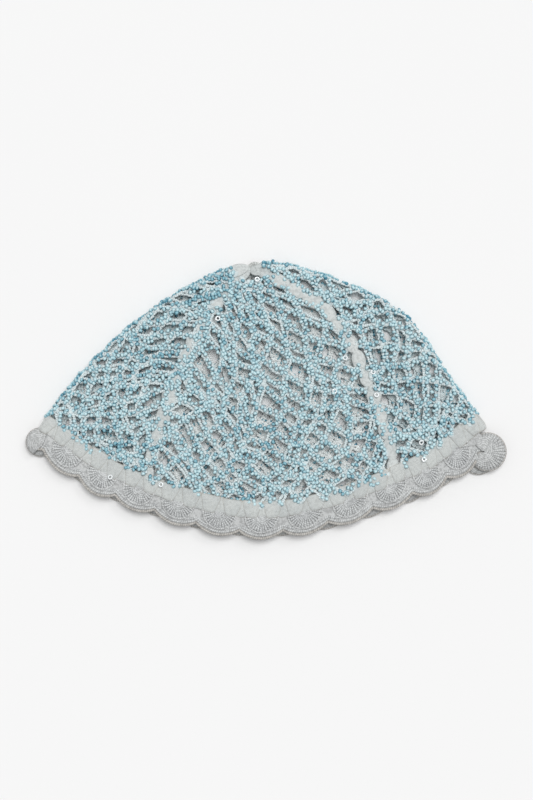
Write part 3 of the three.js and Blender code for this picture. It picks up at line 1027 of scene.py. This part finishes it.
def build_seam(name, turn, settings, shape, material):
    """One seam: a flat cord with overlapping puffs along it."""
    rng = np.random.default_rng(int(SEAM_SEED + 2 * turn))
    down, gone = seam_length(turn)
    here = Skin(turn, down)
    lateral = line_directions(here.place, here.normal)[1]
    pile = Pile()
    count = puff_count(gone, settings.puff_pitch)
    pinch = TAPE_PINCH * np.cos(2 * np.pi * count * gone / gone[-1])
    pile.add_tube(here.out(-TAPE_SINK), lateral, here.normal, settings.tape_width / 2 * (1 - pinch),
                  TAPE_HALF, 8, gone, shade=0.5, edge=0)
    at = (np.arange(count) + 0.5) * gone[-1] / count
    puffs = Skin(turn, np.interp(at, gone, down))
    sizes = (settings.puff_width, settings.puff_length, settings.puff_height)
    add_puffs(pile, shape, puffs, sizes, rng, swing=0.16, base=0.3 * MM)
    return pile.finish(f"seam_{name}_puffs", material, (f"seam_{name}",))


def build_crown(settings, shape, material):
    """The ring that the crochet starts from, and puffs that spread from it."""
    rng = np.random.default_rng(CROWN_SEED)
    pile = Pile()
    for turn, down, wide, long in CROWN_PUFFS:
        sizes = (wide * MM, long * MM, settings.puff_height)
        add_puffs(pile, shape, Skin(np.array([turn]), down), sizes, rng, swing=0.05, base=0.2 * MM)
    around = np.linspace(0, 2 * np.pi, RING_STEPS + 1)
    outward = np.column_stack((np.cos(around), 0.7 * np.sin(around), 0 * around))
    line = MM * (RING_MIDDLE + RING_RADIUS * outward)
    pile.add_tube(line, unit(outward), upwards(len(line)), 1.1 * MM, 0.9 * MM, 6,
                  RING_RADIUS * MM * around, shade=0.3, edge=0.15)
    return pile.finish("crown_rosette", material, ("crown_tip",))


class CAP_OT_seams(bpy.types.Operator):
    """Crochets the four seams and the rosette at the crown out of smooth puffs"""

    bl_idname = "cap.seams"
    bl_label = "Seams"

    def execute(self, context):
        settings = context.scene.cap.seams
        material = yarn_material("Seam puff yarn", settings.puff_colour, settings.puff_second,
                                 sheen=0.4, relief=0.3, mottle=0.2)
        shape = puff_shape()
        for name, turn in SEAMS.items():
            build_seam(name, turn, settings, shape, material)
        build_crown(settings, shape, material)
        return {"FINISHED"}


# ---------------------------------------------------------------------------------------------
# Hem
# ---------------------------------------------------------------------------------------------

TURN_WIDTH = 143 * MM       # of a turn along the hem
CAP_DEPTH = 151 * MM        # down the front middle, from 0 to 1
HEM_SPANS = ((-0.955, 0.95), (1.05, 2.955))    # turns of the fans, between the corner lobes
FAN_PHASE, BACK_PHASE = 0.4, 0.1               # where the fans start, in fans from the left fold
BACK_SHORT = 0.014          # how much less far down the lower layer's fans reach
NOTCH_DEPTH = 0.028         # of the notches between fans, in shares down
FAN_ROUNDNESS = 0.75        # 1 gives a fan the outline of a sine curve, and less a fuller one
EVEN_EDGE = 0.75            # how far down, between notch and fan, a row without notches lies
WEB_TOP = 0.89              # share down of the upper edge of the fans' ground
WEB_INSET = 0.8 * MM        # from the fans' edge
WEB_SIDES = (0.08 * MM, -0.7 * MM)    # its two faces, from the middle surface
SHELL_TOP = 0.912           # share down of the middles of the shells
SHELL_RADIUS = 9.4          # in millimetres
SHELL_ANGLE = 1.5           # radians from a shell's axis to its last rib
RIM_ANGLE = 1.75            # and to the end of its rim
RIB_DEPTH = 0.7 * MM
HEM_SEED = 61
# Rows of stitches across the fans: inset from the edge, offset outwards and half width in
# millimetres, share of the notches' depth, and how much painted shade darkens the yarn
FAN_ROWS = (
    (0.7, 0.0, 0.8, 1.0, 0.5),
    (2.3, 0.15, 0.75, 0.95, 0.05),
    (4.1, 0.0, 0.7, 0.75, 0.0),
    (11.4, 0.2, 0.7, 0.1, 0.1),
)
PETAL_TOPS, PETAL_BOTTOMS = (0.856, 0.864), (0.918, 0.924)    # shares down
# The two kinds of petal: half width in half fans, height of the base in millimetres, and flare
PETALS = ((0.3, -0.1, -1.2), (0.41, 0.5, 0.7))
# The flat lobes at the hem's corners: place of the middle, height at the middle and fall to the
# rim, radius and its growth along the axis, in millimetres, axis and half spread in degrees
LOBES = (
    (120.2, -28.0, 9.0, 3.2, 9.9, 3.0, -5, 138),
    (118.0, -31.0, 3.0, 1.6, 9.2, 0.6, -45, 70),
    (-121.8, -24.0, 8.8, 3.4, 6.8, 3.0, 148, 68),
    (-121.5, -22.6, 3.6, 1.4, 6.6, 2.8, 200, 58),
)


def edge_down(turns, fans, depth=1.0):
    """How far down the scalloped edge lies, or a row along it with a share of its notches."""
    turn = (turns + 1) % ALL_ROUND - 1
    phase = ((turn + 1) * fans / ALL_ROUND - np.where(turn < 1, FAN_PHASE, BACK_PHASE)) % 1
    lowest = 1 - BACK_SHORT * np.clip(8 * (1 - np.abs(turn - 2)), 0, 1)
    fan = depth * np.sin(np.pi * phase) ** FAN_ROUNDNESS
    return lowest - NOTCH_DEPTH * (1 - fan - (1 - depth) * EVEN_EDGE)


def add_line(pile, line, normal, wide, thick, **marks):
    """Adds a stitched cord about a line."""
    tangent, lateral = line_directions(line, normal)
    pile.add_tube(line, lateral, np.cross(tangent, lateral), wide, thick, 5, lengths(line), **marks)


def add_cord(pile, turns, down, offset, wide, thick, **marks):
    """Adds a stitched cord along the surface."""
    here = Skin(turns, down)
    add_line(pile, here.out(offset), here.normal, wide, thick, **marks)


def add_shell(pile, middle, ribs, rng):
    """The half-round shell in one fan, of ribs that spread from its middle, and its rim."""
    shade = rng.uniform(0.2, 0.8)

    def place(angle, radius):
        return (middle + radius * MM * np.sin(angle) / TURN_WIDTH,
                SHELL_TOP + radius * MM * np.cos(angle) / CAP_DEPTH)

    for angle in np.linspace(-SHELL_ANGLE, SHELL_ANGLE, ribs):
        radius = np.linspace(rng.uniform(0.4, 1.4), SHELL_RADIUS, 6)
        wide = (0.3 + 0.45 * radius / SHELL_RADIUS) * MM
        add_cord(pile, *place(angle, radius), 0.25 * MM, wide, RIB_DEPTH,
                 shade=shade + rng.uniform(-0.2, 0.2), edge=0)
    rim = np.linspace(-RIM_ANGLE, RIM_ANGLE, 17)
    add_cord(pile, *place(rim, SHELL_RADIUS), 0.3 * MM, 0.65 * MM, RIB_DEPTH,
             shade=rng.uniform(0.2, 0.8), edge=0.05)


def add_web(pile, low, high, fans):
    """The close ground of the fans between two turns."""
    turns = np.linspace(low, high, 8 * fans + 1)[None]
    share = np.linspace(0, 1, 6)[:, None]
    bottom = edge_down(turns, fans) - WEB_INSET / CAP_DEPTH
    here = Skin(turns, WEB_TOP + share * (bottom - WEB_TOP))
    pile.add_slab(*map(here.out, WEB_SIDES), shade=0.6, edge=0.05)


def add_rows(pile, low, high, fans, rng):
    """Rows of stitches across the fans between two turns."""
    turns = np.linspace(low, high, 9 * fans + 1)
    for inset, offset, wide, depth, edge_shade in FAN_ROWS:
        # The last column darkens a row with painted shade, most of all the outer row.
        down = edge_down(turns, fans, depth) - inset * MM / CAP_DEPTH
        add_cord(pile, turns, down, offset * MM, wide * MM, 0.7 * wide * MM,
                 shade=rng.uniform(0.2, 0.8), edge=edge_shade)


def add_lobe(pile, x, y, height, fall, radius, growth, axis, spread, ribs, rng):
    """A fan that lies flat at a corner of the hem, of ribs and a rim darkened with painted shade."""
    axis, spread = math.radians(axis), math.radians(spread)

    def place(angle, share):
        far = share * (radius + growth * np.cos(angle - axis))
        high = height - fall * share ** 2
        return MM * np.stack((x + far * np.cos(angle), y + far * np.sin(angle),
                              high + 0 * far), -1)

    for angle in axis + np.linspace(-spread, spread, ribs):
        reach = np.linspace(rng.uniform(0.03, 0.13), 0.97, 7)
        add_line(pile, place(angle, reach), upwards(len(reach)), (0.3 + 0.72 * reach) * MM,
                 0.75 * MM, shade=rng.uniform(0.2, 0.8), edge=0.05)
    angle = axis + np.linspace(-spread, spread, 33)
    rim = place(angle, 0.98) - (0.0, 0.0, 0.1 * MM)
    add_line(pile, rim, upwards(len(rim)), 0.8 * MM, 0.6 * MM, shade=0.5, edge=0.5)


def add_petal(pile, middle, half, top, bottom, base, flare, rng):
    """One padded petal with faint strands. Flare is how much wider it is at its top than at its
    bottom, and below 0 its top is the narrow end."""
    shade = rng.uniform(0.1, 0.9)
    reach = (0.5 - 0.5 * np.cos(np.pi * np.linspace(0, 1, 8)))[:, None]
    side = np.sin(np.pi / 2 * np.linspace(-1, 1, 13))[None]
    round_ends = np.clip(1 - np.abs(2 * reach - 1) ** 9, 0, 1)
    span = (1 + flare * (0.5 - reach)) * (0.8 + 0.2 * round_ends)
    here = Skin(middle + half * side * span, top + (bottom - top) * reach + 0 * side)
    crown = (1 - side ** 4) ** 0.6 * (1 - (2 * reach - 1) ** 8) ** 0.6
    strands = 0.08 * np.cos(5 * np.pi * side)
    outer = base + (0.1 + 0.9 * crown + strands * crown) * MM
    inner = base - 0.45 * MM + 0 * outer
    # Painted shade: the petal darkens towards its border, where petals overlap.
    edge = 0.8 * np.clip(2 * (0.6 - crown), 0, 1)
    pile.add_slab(here.out(outer), here.out(inner), shade=shade,
                  edge=np.concatenate((edge.ravel(), edge.ravel())))


def build_fans(settings, rng):
    """The scalloped edge: shells on their close ground, rows of stitches and the corner lobes."""
    fans, half = settings.fans, 2 / settings.fans
    pile = Pile()
    for fan in range(fans):
        phase = FAN_PHASE if fan < fans / 2 else BACK_PHASE
        middle = -1 + (fan + phase + 0.5) * 2 * half
        if any(low + half / 2 < middle < high - half / 2 for low, high in HEM_SPANS):
            add_shell(pile, middle, settings.ribs, rng)
    for low, high in HEM_SPANS:
        add_web(pile, low, high, fans)
        add_rows(pile, low, high, fans, rng)
    for lobe in LOBES:
        add_lobe(pile, *lobe, 2 * settings.ribs - 3, rng)
    material = yarn_material("Hem yarn", settings.hem_colour, settings.hem_second, mottle=0.3)
    return pile.finish("scallop_fans", material, ("scallop_edge",))


def build_petals(settings, rng):
    """The band of petals: broad ones, and lower pointed ones between them."""
    half = 2 / settings.fans
    pile = Pile()
    for petal in range(4 * settings.fans):
        middle = -1 + (petal / 2 + 2 * FAN_PHASE) * half + rng.uniform(-0.05, 0.05) * half
        top, bottom = rng.uniform(*PETAL_TOPS), rng.uniform(*PETAL_BOTTOMS)
        share, base, flare = PETALS[petal % 2]
        add_petal(pile, middle, share * half, top, bottom, base * MM, flare, rng)
    material = yarn_material("Petal yarn", settings.petal_colour, settings.petal_second,
                             sheen=0.4, relief=0.2)
    return pile.finish("hem_petals", material, ("hem_band",))


class CAP_OT_hem(bpy.types.Operator):
    """Crochets the hem: a band of petals over an edge of scalloped fans"""

    bl_idname = "cap.hem"
    bl_label = "Hem"

    def execute(self, context):
        settings = context.scene.cap.hem
        rng = np.random.default_rng(HEM_SEED)
        build_fans(settings, rng)
        build_petals(settings, rng)
        return {"FINISHED"}


# ---------------------------------------------------------------------------------------------
# Sequins
# ---------------------------------------------------------------------------------------------

# Turn and share down of each sequin
SEQUINS = (
    (0.16, 0.06), (-0.4, 0.235), (0.548, 0.541), (0.533, 0.594), (0.513, 0.613), (0.668, 0.83),
    (0.655, 0.883), (-0.645, 0.92), (-0.432, 0.877), (0.43, 0.45), (0.325, 0.533), (1.4, 0.5),
    (1.7, 0.7), (2.1, 0.4), (2.4, 0.8), (2.8, 0.6), (1.9, 0.85),
)
SEQUIN_SIZE = 3.0 * MM
SEQUIN_RISE = 2.3 * MM      # from the cords' middle surface
SEQUIN_LOWEST = 0.8 * MM    # over the table
SEQUIN_LEAN = 0.25          # radians, either way
SEQUIN_SEED = 71


def sequin_shape():
    """A thin flat ring, one unit across."""
    start_shape()
    bpy.ops.mesh.primitive_torus_add(major_segments=14, minor_segments=5, major_radius=0.36,
                                     minor_radius=0.14)
    bpy.ops.transform.resize(value=(1, 1, 0.5))
    bpy.ops.object.transform_apply(location=False, rotation=False, scale=True)
    return take_shape()


def sequin_material():
    """Clear pearly film."""
    material, nodes, shader = new_material("Sequin film")
    cloud = nodes.spread(nodes.noise(nodes.place(), 400.0, 2.0), 0.3, 0.7)
    film = nodes.mix(cloud, (0.93, 0.95, 0.96, 1), (0.8, 0.86, 0.88, 1))
    nodes.put(shader, "Base Color", film)
    nodes.put(shader, "Roughness", nodes.spread(cloud, 0, 1, 0.08, 0.2))
    nodes.put(shader, "Coat Weight", 0.8)
    return material


class CAP_OT_sequins(bpy.types.Operator):
    """Sews on the scattered pearly sequins"""

    bl_idname = "cap.sequins"
    bl_label = "Sequins"

    def execute(self, context):
        rng = np.random.default_rng(SEQUIN_SEED)
        here = Skin(*np.array(SEQUINS).T)
        turns = lean(rng, *here.axes(), here.normal, SEQUIN_LEAN, SEQUIN_LEAN)
        centres = here.out(SEQUIN_RISE)
        centres[:, 2] = np.maximum(centres[:, 2], SEQUIN_LOWEST)
        pile = Pile()
        pile.add_copies(sequin_shape(), centres, SEQUIN_SIZE * matrices(*turns))
        pile.finish("sequins", sequin_material())
        return {"FINISHED"}


# ---------------------------------------------------------------------------------------------
# Stage
# ---------------------------------------------------------------------------------------------

TABLE_SIZE = 12
KEY_DIRECTION, KEY_ANGLE = (0.62, 0.72, 1.15), 20    # towards the light, and its width in degrees
TOP_DIRECTION, TOP_ANGLE = (0.1, 0.26, 1), 26
VIEW_CENTRE = (1.1 * MM, 0.3 * MM)
LOOK_HEIGHT = 8 * MM
SENSOR_WIDTH = 36.0
CLIP_DISTANCES = (0.05, 20)


def table_material(base):
    """Matt and almost even."""
    material, nodes, shader = new_material("Pale table")
    cloud = nodes.spread(nodes.noise(nodes.place(), 3.0, 2.0), 0.3, 0.7)
    nodes.put(shader, "Base Color", nodes.mix(cloud, (*base, 1), (*(0.995 * c for c in base), 1)))
    nodes.put(shader, "Roughness", nodes.spread(cloud, 0, 1, 0.85, 0.9))
    nodes.put(shader, "Specular IOR Level", 0.2)
    return material


def add_table(settings):
    """The wide flat table that the cap lies on."""
    start_shape()
    bpy.ops.mesh.primitive_plane_add(size=TABLE_SIZE)
    floor = bpy.context.object
    floor.name = "table"
    floor.data.materials.append(table_material(settings.floor_colour))


def add_sky(scene, strength):
    """An even white light from all round."""
    scene.world = bpy.data.worlds.new("Studio")
    scene.world.use_nodes = True
    back = scene.world.node_tree.nodes["Background"]
    back.inputs["Color"].default_value = (1, 1, 1, 1)
    back.inputs["Strength"].default_value = strength


def add_light(scene, name, strength, direction, angle):
    """A far light that many degrees wide. Direction points towards it."""
    light = bpy.data.lights.new(name, "SUN")
    light.energy = strength
    light.angle = math.radians(angle)
    lamp = bpy.data.objects.new(name, light)
    scene.collection.objects.link(lamp)
    lamp.rotation_euler = Vector(direction).to_track_quat("Z", "Y").to_euler()


def add_camera(scene, settings):
    """A camera that looks straight down."""
    camera = bpy.data.cameras.new("Camera")
    camera.lens = settings.lens
    camera.sensor_width = SENSOR_WIDTH
    camera.clip_start, camera.clip_end = CLIP_DISTANCES
    eye = bpy.data.objects.new("Camera", camera)
    scene.collection.objects.link(eye)
    distance = settings.view_height * settings.lens / SENSOR_WIDTH
    eye.location = (*VIEW_CENTRE, LOOK_HEIGHT + distance)
    scene.camera = eye


class CAP_OT_stage(bpy.types.Operator):
    """Sets the table, the soft studio light and the camera over it"""

    bl_idname = "cap.stage"
    bl_label = "Stage"

    def execute(self, context):
        scene = context.scene
        settings = scene.cap.stage
        add_table(settings)
        add_sky(scene, settings.fill_strength)
        add_light(scene, "Key", settings.key_strength, KEY_DIRECTION, KEY_ANGLE)
        add_light(scene, "Top", settings.top_strength, TOP_DIRECTION, TOP_ANGLE)
        add_camera(scene, settings)
        scene.view_settings.view_transform = "Standard"
        return {"FINISHED"}


# ---------------------------------------------------------------------------------------------
# Add-on
# ---------------------------------------------------------------------------------------------

OPERATORS = (CAP_OT_stage, CAP_OT_net, CAP_OT_beads, CAP_OT_seams, CAP_OT_hem, CAP_OT_sequins)


class CAP_PT_panel(bpy.types.Panel):
    """Lists the cap's operators and settings"""

    bl_label = "Beaded Crochet Cap"
    bl_idname = "CAP_PT_panel"
    bl_space_type = "VIEW_3D"
    bl_region_type = "UI"
    bl_category = "Cap"

    def draw(self, context):
        for operator in OPERATORS:
            self.layout.operator(operator.bl_idname)
        settings = context.scene.cap
        for name in ("net", "beads", "seams", "hem", "stage"):
            box = self.layout.box()
            group = getattr(settings, name)
            for prop in group.bl_rna.properties:
                if prop.identifier not in ("rna_type", "name"):
                    box.prop(group, prop.identifier)


CLASSES = (CapNetSettings, CapBeadSettings, CapSeamSettings, CapHemSettings, CapStageSettings,
           CapSettings, *OPERATORS, CAP_PT_panel)


def register():
    for cls in CLASSES:
        bpy.utils.register_class(cls)
    bpy.types.Scene.cap = PointerProperty(type=CapSettings)


def unregister():
    del bpy.types.Scene.cap
    for cls in reversed(CLASSES):
        bpy.utils.unregister_class(cls)


def main():
    register()
    for operator in OPERATORS:
        group, name = operator.bl_idname.split(".")
        getattr(getattr(bpy.ops, group), name)()


if __name__ == "__main__":
    main()
